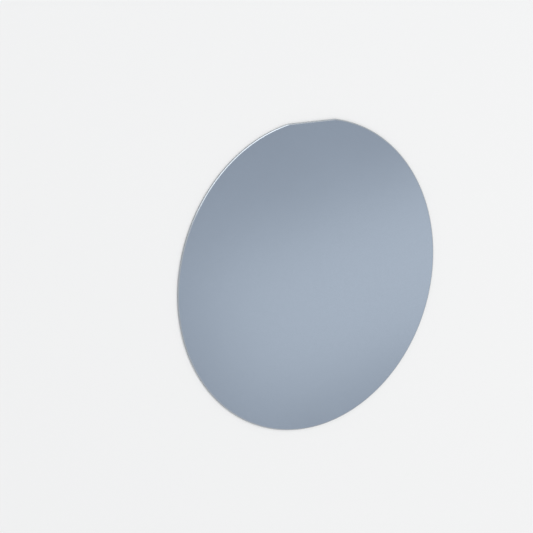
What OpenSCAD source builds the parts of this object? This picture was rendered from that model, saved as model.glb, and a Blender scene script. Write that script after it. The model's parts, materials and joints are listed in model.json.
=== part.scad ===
// Silicon wafer: a thin round slice with one orientation flat and a ground edge.
// Millimetres. +Z is up and the wafer lies flat, with the etched face on top.
// The origin is the centre of the underside, and the flat faces +Y.

/* [Wafer] */
// Diameter across the round rim
wafer_d = 100; // [50:0.5:150]
// Thickness from the underside to the top face
wafer_t = 0.525; // [0.4:0.005:1]

/* [Orientation flat] */
// Length of the straight flat cut into the rim
flat_length = 18; // [8:0.5:40]

/* [Ground edge] */
// Height of the upright land around the middle of the edge
land_h = 0.1; // [0.05:0.01:0.12]
// Radius that rounds the land over into each bevel
nose_r = 0.12; // [0.05:0.01:0.14]
// Slope of each bevel against the face beside it, in degrees
bevel_angle = 22; // [11:1:35]

/* [Hidden] */
$fn = 360;

rim_r = wafer_d / 2;
// How far the flat lies from the wafer's centre
flat_reach = sqrt(rim_r * rim_r - flat_length * flat_length / 4);
// Heights of the two nose rounds' centres, which are also the ends of the land
land_z = [(wafer_t - land_h) / 2, (wafer_t + land_h) / 2];
// Where a nose round runs into its bevel: how far in from the land, and how far
// down or up from the nose round's centre
bevel_in = nose_r * (1 - sin(bevel_angle));
bevel_off = nose_r * cos(bevel_angle);
// What each bevel takes off the edge's height, and off the face
bevel_rise = land_z[0] - bevel_off;
bevel_run = bevel_rise / tan(bevel_angle);
// How far the cutting block runs past the wafer on each side where it cuts nothing
overrun = 1;

// A section across the wafer from its ground edge, at x = reach, inwards over depth:
// two flat faces, a bevel on each, and two rounds with an upright land between them.
module edge_section(reach, depth) {
    translate([reach, 0]) {
        polygon([
            [-depth, 0],
            [-bevel_in - bevel_run, 0],
            [-bevel_in, bevel_rise],
            [0, land_z[0]],
            [0, land_z[1]],
            [-bevel_in, wafer_t - bevel_rise],
            [-bevel_in - bevel_run, wafer_t],
            [-depth, wafer_t]
        ]);
        for (z = land_z)
            translate([-nose_r, z]) circle(r = nose_r);
    }
}

// The round slice, with its edge ground all the way round.
module round_slice() {
    rotate_extrude() edge_section(rim_r, rim_r);
}

// A block with the same ground edge along its straight +Y side, which gives the flat.
module flat_block() {
    rotate([90, 0, 90])
        linear_extrude(height = wafer_d + 2 * overrun, center = true)
            edge_section(flat_reach, flat_reach + rim_r + overrun);
}

// One crystal in one piece: what the round slice and the block have in common.
module wafer() {
    color([0.60, 0.66, 0.72])
        intersection() {
            round_slice();
            flat_block();
        }
}

wafer();
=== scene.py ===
"""A silicon wafer lying on a plain pale studio floor, etched face up.

The wafer's piece is one closed surface: a section of the ground edge is carried round the wafer's
outline, and each face is closed inwards to its middle. All lengths are metres.
"""

import json
import math

import bpy
import numpy as np
from mathutils import Matrix, Vector


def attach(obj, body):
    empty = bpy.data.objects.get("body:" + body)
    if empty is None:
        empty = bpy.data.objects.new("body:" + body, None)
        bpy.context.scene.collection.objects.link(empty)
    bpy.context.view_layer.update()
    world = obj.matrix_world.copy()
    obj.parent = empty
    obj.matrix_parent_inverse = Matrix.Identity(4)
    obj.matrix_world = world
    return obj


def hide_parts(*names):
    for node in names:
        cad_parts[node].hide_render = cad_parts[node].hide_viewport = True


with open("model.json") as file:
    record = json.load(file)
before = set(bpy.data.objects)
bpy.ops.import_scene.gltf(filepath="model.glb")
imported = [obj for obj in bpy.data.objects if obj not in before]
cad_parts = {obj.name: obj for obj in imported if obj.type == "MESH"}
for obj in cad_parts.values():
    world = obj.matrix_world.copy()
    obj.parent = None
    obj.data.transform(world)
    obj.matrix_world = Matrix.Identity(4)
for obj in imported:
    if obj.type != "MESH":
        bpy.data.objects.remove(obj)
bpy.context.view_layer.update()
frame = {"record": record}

MM = 0.001


def mount(name):
    """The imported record's mount of that name."""
    return next(m for m in frame["record"]["mounts"] if m["name"] == name)


# The wafer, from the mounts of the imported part
RIM_R = mount("rim")["dims"]["r_mm"] * MM
FLAT_REACH = mount("orientation_flat")["pos_m"][1]
THICK = mount("top_face")["pos_m"][2]

# The ground edge: an upright land, two noses that round it over, and two bevels
LAND_H = mount("rim")["dims"]["length_mm"] * MM
NOSE_R = 0.12 * MM
BEVEL_ANGLE = math.radians(22)
BREAK_R = 0.03 * MM  # rounds the line where a face meets its bevel
CORNER_R = 1.5 * MM  # rounds the outline where the flat meets the round rim

# The mesh: steps round the rim, round each small corner and along the flat, then up each nose
# and over each break of the edge's section
RIM_STEPS = 960
CORNER_STEPS = 10
FLAT_STEPS = 60
NOSE_STEPS = 8
BREAK_STEPS = 4
# Where the rings of each flat face lie, as shares of the way out from its middle
FACE_RINGS = np.array([0.985, 0.9, 0.7, 0.45, 0.2])
# The order of the wafer's material slots
FINISHES = ["etched_face", "polished_face", "ground_edge"]

# The view: the lens, the point of the top face that it looks at, and where it stands from there
LENS_MM = 334.2
SENSOR_MM = 36.0
AIM = Vector((-16.35 * MM, 4.51 * MM, THICK))
VIEW_AZIMUTH = math.radians(159.764)
VIEW_ELEVATION = math.radians(52.0)
VIEW_ROLL = math.radians(107.66)
VIEW_DISTANCE = 1.5489

# Colours, linear
ETCHED = (0.282, 0.335, 0.413)
POLISHED = (0.33, 0.36, 0.40)
GROUND = (0.41, 0.445, 0.485)
FLOOR_PALE = (0.83, 0.835, 0.84)
BACKGROUND = (0.85, 0.855, 0.86)
WHITE = (1.0, 1.0, 1.0)
WARM_WHITE = (1.0, 0.95, 0.86)

# The finishes' fine texture
PIT_SIZE = 0.14 * MM
PIT_DEPTH = 0.002 * MM
PIT_SMOOTHNESS = 0.6  # how far neighbouring pits melt into each other
SWELL_SHARE = 0.5  # how much of the swell's noise goes on top of the pits
GRIND_PITCH = 0.02 * MM
GRIND_LENGTH = 4 * MM
GRIND_DEPTH = 0.001 * MM
# What brings a texture's own values to about -1 to 1: times the first number, plus the second
NOISE_STRETCH = (4.0, -2.0)
PIT_STRETCH = (3.0, -2.0)

# The stage
FLOOR_R = 6.0
FLOOR_STEPS = 96
FLOOR_DROP = 0.002 * MM  # keeps the floor just clear of the underside
FLOOR_ROUGHNESS = 0.9
FLOOR_SHINE = 0.1
SURROUND_LIGHT = 0.95


# ---------------------------------------------------------------- shape

def outline():
    """The wafer's outline as points and outward normals, anticlockwise from the flat's right end.

    It is four stretches. The flat runs straight towards -X. A small arc about a centre one corner
    radius inside both the flat and the rim turns it into the rim, the rim is one large arc about
    the wafer's middle, and a second small arc turns it back into the flat. On an arc a point is
    the centre plus the radius times the normal.
    """
    corner_y = FLAT_REACH - CORNER_R
    corner_x = math.sqrt((RIM_R - CORNER_R) ** 2 - corner_y**2)
    rim_start = math.atan2(corner_y, -corner_x)
    rim_end = math.atan2(corner_y, corner_x) + 2 * math.pi
    up = math.pi / 2

    def arc(centre, radius, start, end, steps):
        turn = np.linspace(start, end, steps, endpoint=False)
        normal = np.stack([np.cos(turn), np.sin(turn)], 1)
        return np.array(centre) + radius * normal, normal

    along = np.linspace(corner_x, -corner_x, FLAT_STEPS, endpoint=False)
    flat = np.stack([along, np.full_like(along, FLAT_REACH)], 1)
    flat_normal = np.tile([0.0, 1.0], (FLAT_STEPS, 1))
    stretches = [
        (flat, flat_normal),
        arc((-corner_x, corner_y), CORNER_R, up, rim_start, CORNER_STEPS),
        arc((0, 0), RIM_R, rim_start, rim_end, RIM_STEPS),
        arc((corner_x, corner_y), CORNER_R, rim_end, up + 2 * math.pi, CORNER_STEPS),
    ]
    points, normals = zip(*stretches)
    return np.concatenate(points), np.concatenate(normals)


def edge_section():
    """The ground edge's section from the top face over to the underside, as (depth, height) points.

    Depth is the distance inwards from the upright land. The upper half is worked out from the land
    up and then mirrored about the wafer's mid-plane: the nose arc turns by a right angle less the
    bevel's slope, the bevel is straight, and a small arc turns it level with the face. One point
    more, just inside that arc, keeps the face's shading flat.
    """
    land_top = (THICK + LAND_H) / 2
    turn = np.linspace(0, math.pi / 2 - BEVEL_ANGLE, NOSE_STEPS + 1)
    nose = np.stack([NOSE_R * (1 - np.cos(turn)), land_top + NOSE_R * np.sin(turn)], 1)
    rise = THICK - nose[-1, 1]
    face_depth = nose[-1, 0] + rise / math.tan(BEVEL_ANGLE)
    level = face_depth + BREAK_R * math.tan(BEVEL_ANGLE / 2)
    turn = np.linspace(BEVEL_ANGLE, 0, BREAK_STEPS + 1)
    soft_break = np.stack([level - BREAK_R * np.sin(turn), THICK - BREAK_R * (1 - np.cos(turn))], 1)
    inside = np.array([[level + BREAK_R, THICK]])
    upper = np.concatenate([nose, soft_break, inside])[::-1]
    lower = upper[::-1] * [1, -1] + [0, THICK]
    return np.concatenate([upper, lower])


def wafer_mesh():
    """The wafer as one closed mesh with three finishes, and a UV map in metres.

    Every ring is the outline drawn in by the section's depth along its normals, at the section's
    height. Inside the last ring of a face, a ring is that ring scaled towards the middle, and a
    fan of triangles closes the middle.
    """
    points, normals = outline()
    count = len(points)
    section = edge_section()

    def ring(depth, height, scale=1.0):
        flat = (points - normals * depth) * scale
        return np.column_stack([flat, np.full(count, height)])

    face_depth = section[0, 0]
    upper = [ring(face_depth, THICK, s) for s in FACE_RINGS[::-1]]
    edge = [ring(depth, height) for depth, height in section]
    lower = [ring(face_depth, 0, s) for s in FACE_RINGS]
    rings = np.array(upper + edge + lower)
    vertices = np.concatenate([rings.reshape(-1, 3), [[0, 0, THICK], [0, 0, 0]]])
    top_middle = len(vertices) - 2
    under_middle = len(vertices) - 1

    here = np.arange(count)
    after = (here + 1) % count
    rows = np.arange(len(rings) - 1)[:, None] * count
    quads = np.stack([rows + here, rows + count + here, rows + count + after, rows + after], -1)
    last = (len(rings) - 1) * count
    top_fan = np.stack([np.full(count, top_middle), here, after], -1)
    under_fan = np.stack([np.full(count, under_middle), last + after, last + here], -1)

    mesh = bpy.data.meshes.new("wafer")
    faces = quads.reshape(-1, 4).tolist() + top_fan.tolist() + under_fan.tolist()
    mesh.from_pydata(vertices.tolist(), [], faces)
    finish = face_finishes(count, len(rings) - 1)
    mesh.polygons.foreach_set("material_index", finish.astype(np.int32))
    mesh.polygons.foreach_set("use_smooth", np.ones(len(mesh.polygons), bool))
    map_surface(mesh, rings, finish)
    mesh.update()
    return mesh


def face_finishes(count, rows):
    """The finish of each face, in the mesh's order: the rows from the top down, then the two fans.

    The rows of the top face and of the underside run out to where its break begins, and all the
    rows between them are the ground edge.
    """
    etched, polished, ground = range(len(FINISHES))
    face_rows = len(FACE_RINGS) + 1
    row_finish = np.full(rows, ground)
    row_finish[:face_rows] = etched
    row_finish[-face_rows:] = polished
    fans = [np.full(count, etched), np.full(count, polished)]
    return np.concatenate([np.repeat(row_finish, count), *fans])


def map_surface(mesh, rings, finish):
    """A UV map in metres: along the rim and over the section on the edge, X and Y on the faces.

    The way along is measured on the middle ring, which lies on the land, and the way over on the
    first point of each ring. The last column of faces ends at the full length round, not at 0.
    """
    count = rings.shape[1]
    land = rings[len(rings) // 2]
    along = np.cumsum(np.linalg.norm(np.roll(land, -1, 0) - land, axis=1))
    along = np.concatenate([[0], along])
    over = np.cumsum(np.linalg.norm(np.diff(rings[:, 0], axis=0), axis=1))
    over = np.concatenate([[0], over])
    corner = np.empty(len(mesh.loops), np.int32)
    mesh.loops.foreach_get("vertex_index", corner)
    places = np.empty(len(mesh.vertices) * 3, np.float32)
    mesh.vertices.foreach_get("co", places)
    face_uv = places.reshape(-1, 3)[corner, :2]
    sizes = np.empty(len(mesh.polygons), np.int32)
    mesh.polygons.foreach_get("loop_total", sizes)
    face_of = np.repeat(np.arange(len(sizes)), sizes)
    is_edge = finish[face_of] == FINISHES.index("ground_edge")
    row = np.minimum(corner // count, len(rings) - 1)
    column = corner % count
    wraps = (face_of % count == count - 1) & (column == 0)
    edge_uv = np.stack([along[np.where(wraps, count, column)], over[row]], 1)
    uv = np.where(is_edge[:, None], edge_uv, face_uv)
    layer = mesh.uv_layers.new(name="surface")
    layer.data.foreach_set("uv", uv.astype(np.float32).ravel())


# ---------------------------------------------------------------- node groups

def new_group(name, inputs, outputs):
    """An empty shader node group. Inputs and outputs are (name, socket kind, default) triples."""
    group = bpy.data.node_groups.new(name, "ShaderNodeTree")
    for direction, sockets in (("INPUT", inputs), ("OUTPUT", outputs)):
        for label, kind, default in sockets:
            socket = group.interface.new_socket(
                label, in_out=direction, socket_type="NodeSocket" + kind
            )
            if default is not None:
                socket.default_value = default
    return group, group.nodes.new("NodeGroupInput"), group.nodes.new("NodeGroupOutput")


def add(tree, kind, **settings):
    """A node of that kind with those settings. A setting that is a socket's name sets its value."""
    node = tree.nodes.new("ShaderNode" + kind)
    for key, value in settings.items():
        if hasattr(node, key):
            setattr(node, key, value)
        else:
            node.inputs[key].default_value = value
    return node


def reckon(tree, operation, *terms):
    """The result of a math node. A term is a number, or a socket that is linked in."""
    node = add(tree, "Math", operation=operation)
    for term, socket in zip(terms, node.inputs):
        if isinstance(term, float):
            socket.default_value = term
        else:
            tree.links.new(term, socket)
    return node.outputs[0]


def cloud_group():
    """Slow, soft clouds: noise of a given size, stretched to about -1 to 1."""
    group, given, made = new_group(
        "clouds",
        [("Vector", "Vector", None), ("Size", "Float", 0.02), ("Seed", "Float", 0.0)],
        [("Value", "Float", None)],
    )
    link = group.links.new
    noise = add(group, "TexNoise", noise_dimensions="4D", Detail=2.0, Roughness=0.45)
    link(given.outputs["Vector"], noise.inputs["Vector"])
    link(given.outputs["Seed"], noise.inputs["W"])
    link(reckon(group, "DIVIDE", 1.0, given.outputs["Size"]), noise.inputs["Scale"])
    value = reckon(group, "MULTIPLY_ADD", noise.outputs["Fac"], *NOISE_STRETCH)
    link(value, made.inputs["Value"])
    return group


def tint_group():
    """A colour made a little lighter or darker by a value from -1 to 1."""
    group, given, made = new_group(
        "tint",
        [("Color", "Color", None), ("Value", "Float", 0.0), ("Amount", "Float", 0.05)],
        [("Color", "Color", None)],
    )
    link = group.links.new
    share = reckon(group, "MULTIPLY_ADD", given.outputs["Value"], given.outputs["Amount"], 1.0)
    scaled = add(group, "VectorMath", operation="SCALE")
    link(given.outputs["Color"], scaled.inputs[0])
    link(share, scaled.inputs["Scale"])
    link(scaled.outputs[0], made.inputs["Color"])
    return group


def etch_group():
    """Etched pits: a fine field of shallow, rounded hollows, with a swell across it.

    The height is the distance to the nearest of a scatter of points, smoothed where hollows meet,
    plus a share of a noise of the same size. The painted shade is that height, stretched to about
    -1 to 1: the colour goes darker in the hollows and lighter on the rises, standing in for their
    shading.
    """
    group, given, made = new_group(
        "etch_pits",
        [("Vector", "Vector", None), ("Size", "Float", PIT_SIZE)],
        [("Height", "Float", None), ("painted_shade", "Float", None)],
    )
    link = group.links.new
    scale = reckon(group, "DIVIDE", 1.0, given.outputs["Size"])
    pits = add(group, "TexVoronoi", feature="SMOOTH_F1", Smoothness=PIT_SMOOTHNESS)
    swell = add(group, "TexNoise", Detail=2.0)
    for texture in (pits, swell):
        link(given.outputs["Vector"], texture.inputs["Vector"])
        link(scale, texture.inputs["Scale"])
    distance = pits.outputs["Distance"]
    height = reckon(group, "MULTIPLY_ADD", swell.outputs["Fac"], SWELL_SHARE, distance)
    link(height, made.inputs["Height"])
    link(reckon(group, "MULTIPLY_ADD", height, *PIT_STRETCH), made.inputs["painted_shade"])
    return group


def grind_group():
    """Grinding lines: noise drawn out along the rim, from a map that runs along and over the edge.

    The painted shade is the same noise, stretched to about -1 to 1: the colour goes darker in the
    grooves, standing in for their shading.
    """
    group, given, made = new_group(
        "grind_lines",
        [("UV", "Vector", None), ("Pitch", "Float", GRIND_PITCH), ("Length", "Float", GRIND_LENGTH)],
        [("Height", "Float", None), ("painted_shade", "Float", None)],
    )
    link = group.links.new
    apart = add(group, "SeparateXYZ")
    link(given.outputs["UV"], apart.inputs[0])
    place = add(group, "CombineXYZ")
    link(reckon(group, "DIVIDE", apart.outputs["X"], given.outputs["Length"]), place.inputs["X"])
    link(reckon(group, "DIVIDE", apart.outputs["Y"], given.outputs["Pitch"]), place.inputs["Y"])
    noise = add(group, "TexNoise", Scale=1.0, Detail=3.0, Roughness=0.6)
    link(place.outputs[0], noise.inputs["Vector"])
    link(noise.outputs["Fac"], made.inputs["Height"])
    shade = reckon(group, "MULTIPLY_ADD", noise.outputs["Fac"], *NOISE_STRETCH)
    link(shade, made.inputs["painted_shade"])
    return group


def use(tree, group, **values):
    """A node that holds the group, with plain values set on its inputs."""
    node = tree.nodes.new("ShaderNodeGroup")
    node.node_tree = group
    for key, value in values.items():
        node.inputs[key].default_value = value
    return node


# ---------------------------------------------------------------- materials

def new_material(name, metallic=0.0):
    """A material that is one Principled shader. Returns the material, its tree and the shader."""
    material = bpy.data.materials.new(name)
    material.use_nodes = True
    tree = material.node_tree
    shader = tree.nodes["Principled BSDF"]
    shader.inputs["Metallic"].default_value = metallic
    return material, tree, shader


def clouded(tree, shader, colour, place, size, seed, tone, rough, rough_swing):
    """Drives a shader's roughness with slow clouds, and returns the colour under the same clouds."""
    cloud = use(tree, GROUPS["clouds"], Size=size, Seed=seed)
    tree.links.new(place, cloud.inputs["Vector"])
    tinted = use(tree, GROUPS["tint"], Color=(*colour, 1), Amount=tone)
    tree.links.new(cloud.outputs["Value"], tinted.inputs["Value"])
    roughness = reckon(tree, "MULTIPLY_ADD", cloud.outputs["Value"], rough_swing, rough)
    tree.links.new(roughness, shader.inputs["Roughness"])
    return tinted.outputs["Color"]


def painted_shade_and_bump(tree, shader, colour, texture, shading, depth):
    """Paints a texture's shade onto a colour, darker where the texture is low, and presses the
    texture's height in to that depth.
    """
    link = tree.links.new
    shaded = use(tree, GROUPS["tint"], Amount=shading)
    link(colour, shaded.inputs["Color"])
    link(texture.outputs["painted_shade"], shaded.inputs["Value"])
    link(shaded.outputs["Color"], shader.inputs["Base Color"])
    bump = add(tree, "Bump", Strength=1.0, Distance=depth)
    link(texture.outputs["Height"], bump.inputs["Height"])
    link(bump.outputs["Normal"], shader.inputs["Normal"])


def etched_face():
    """The acid-etched face: satin blue-grey with faint clouds, and fine shallow pits with painted shade
    in their hollows.
    """
    material, tree, shader = new_material("etched_face", metallic=1.0)
    place = add(tree, "TexCoord").outputs["Object"]
    colour = clouded(
        tree, shader, ETCHED, place, size=18 * MM, seed=3.0, tone=0.012, rough=0.22, rough_swing=0.008
    )
    pits = use(tree, GROUPS["etch_pits"])
    tree.links.new(place, pits.inputs["Vector"])
    # painted shade: the face colour darkens in the pits' hollows
    painted_shade_and_bump(tree, shader, colour, pits, shading=0.05, depth=PIT_DEPTH)
    return material


def polished_face():
    """The mirror-polished face: darker, greyer silicon with the faintest haze."""
    material, tree, shader = new_material("polished_face", metallic=1.0)
    place = add(tree, "TexCoord").outputs["Object"]
    colour = clouded(
        tree, shader, POLISHED, place, size=30 * MM, seed=11.0, tone=0.006, rough=0.03, rough_swing=0.01
    )
    tree.links.new(colour, shader.inputs["Base Color"])
    return material


def ground_edge():
    """The ground edge: a lighter satin than the face, with grinding lines along the rim whose grooves
    carry painted shade.
    """
    material, tree, shader = new_material("ground_edge", metallic=1.0)
    place = add(tree, "TexCoord")
    colour = clouded(
        tree, shader, GROUND, place.outputs["Object"],
        size=6 * MM, seed=7.0, tone=0.03, rough=0.25, rough_swing=0.03,
    )
    lines = use(tree, GROUPS["grind_lines"])
    tree.links.new(place.outputs["UV"], lines.inputs["UV"])
    # painted shade: the edge colour darkens along the grinding grooves
    painted_shade_and_bump(tree, shader, colour, lines, shading=0.08, depth=GRIND_DEPTH)
    return material


def floor_material():
    """A plain pale matt floor."""
    material, _, shader = new_material("floor")
    shader.inputs["Base Color"].default_value = (*FLOOR_PALE, 1)
    shader.inputs["Roughness"].default_value = FLOOR_ROUGHNESS
    shader.inputs["Specular IOR Level"].default_value = FLOOR_SHINE
    return material


# ---------------------------------------------------------------- stage

def floor():
    """A wide flat disc just under the wafer."""
    turn = np.linspace(0, 2 * math.pi, FLOOR_STEPS, endpoint=False)
    flat = FLOOR_R * np.stack([np.cos(turn), np.sin(turn)], 1)
    mesh = bpy.data.meshes.new("floor")
    ring = np.column_stack([flat, np.full(FLOOR_STEPS, -FLOOR_DROP)])
    mesh.from_pydata(ring.tolist(), [], [list(range(FLOOR_STEPS))])
    mesh.materials.append(floor_material())
    stage = bpy.data.objects.new("floor", mesh)
    bpy.context.scene.collection.objects.link(stage)


def softbox(name, place, aim, width, depth, turn, radiance, colour=WHITE):
    """An area lamp that faces aim, turned about that line, with the brightness of its face given."""
    lamp = bpy.data.lights.new(name, "AREA")
    lamp.shape = "RECTANGLE"
    lamp.size = width
    lamp.size_y = depth
    lamp.energy = radiance * math.pi * width * depth
    lamp.color = colour
    box = bpy.data.objects.new(name, lamp)
    facing = (Vector(aim) - Vector(place)).to_track_quat("-Z", "Y").to_matrix()
    spun = facing @ Matrix.Rotation(math.radians(turn), 3, "Z")
    box.matrix_world = Matrix.Translation(place) @ spun.to_4x4()
    box.visible_camera = False
    bpy.context.scene.collection.objects.link(box)


def surround(light):
    """Even light from all round. What the camera and reflections see of it is the background."""
    world = bpy.data.worlds.new("surround")
    world.use_nodes = True
    tree = world.node_tree
    link = tree.links.new
    sky = tree.nodes["Background"]
    sky.inputs["Color"].default_value = (*WHITE, 1)
    sky.inputs["Strength"].default_value = light
    seen = add(tree, "Background", Color=(*BACKGROUND, 1))
    rays = add(tree, "LightPath")
    shown = rays.outputs["Is Camera Ray"]
    for kind in ("Is Glossy Ray", "Is Transmission Ray"):
        shown = reckon(tree, "MAXIMUM", shown, rays.outputs[kind])
    choose = add(tree, "MixShader")
    link(shown, choose.inputs["Fac"])
    link(sky.outputs[0], choose.inputs[1])
    link(seen.outputs[0], choose.inputs[2])
    link(choose.outputs[0], tree.nodes["World Output"].inputs["Surface"])
    bpy.context.scene.world = world


def camera():
    """The camera, a long way off with a long lens, looking down on the wafer and rolled."""
    level = math.cos(VIEW_ELEVATION)
    back = Vector((
        math.cos(VIEW_AZIMUTH) * level,
        math.sin(VIEW_AZIMUTH) * level,
        math.sin(VIEW_ELEVATION),
    ))
    turn = (-back).to_track_quat("-Z", "Y").to_matrix() @ Matrix.Rotation(VIEW_ROLL, 3, "Z")
    lens = bpy.data.cameras.new("camera")
    lens.lens = LENS_MM
    lens.sensor_width = SENSOR_MM
    eye = bpy.data.objects.new("camera", lens)
    eye.matrix_world = Matrix.Translation(AIM + back * VIEW_DISTANCE) @ turn.to_4x4()
    bpy.context.scene.collection.objects.link(eye)
    bpy.context.scene.camera = eye


# ---------------------------------------------------------------- build

camera()
GROUPS = {
    "clouds": cloud_group(),
    "tint": tint_group(),
    "etch_pits": etch_group(),
    "grind_lines": grind_group(),
}
wafer = bpy.data.objects.new("silicon_wafer", wafer_mesh())
for finish in (etched_face, polished_face, ground_edge):
    wafer.data.materials.append(finish())
bpy.context.scene.collection.objects.link(wafer)
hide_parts("wafer")
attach(wafer, "root")

floor()
surround(SURROUND_LIGHT)
# A long strip overhead, which the bevel shines under along the near side of the rim
softbox(
    "overhead_strip", place=(0.198, 0.364, 0.9), aim=(0, 0, 0),
    width=0.75, depth=0.25, turn=64, radiance=2.15,
)
# A small, faint one close by, which lays a soft glow across the etched face
softbox(
    "near_glow", place=(0.183, -0.059, 0.198), aim=(0.038, -0.006, 0),
    width=0.062, depth=0.139, turn=39, radiance=0.6, colour=WARM_WHITE,
)
bpy.context.scene.view_settings.view_transform = "Standard"
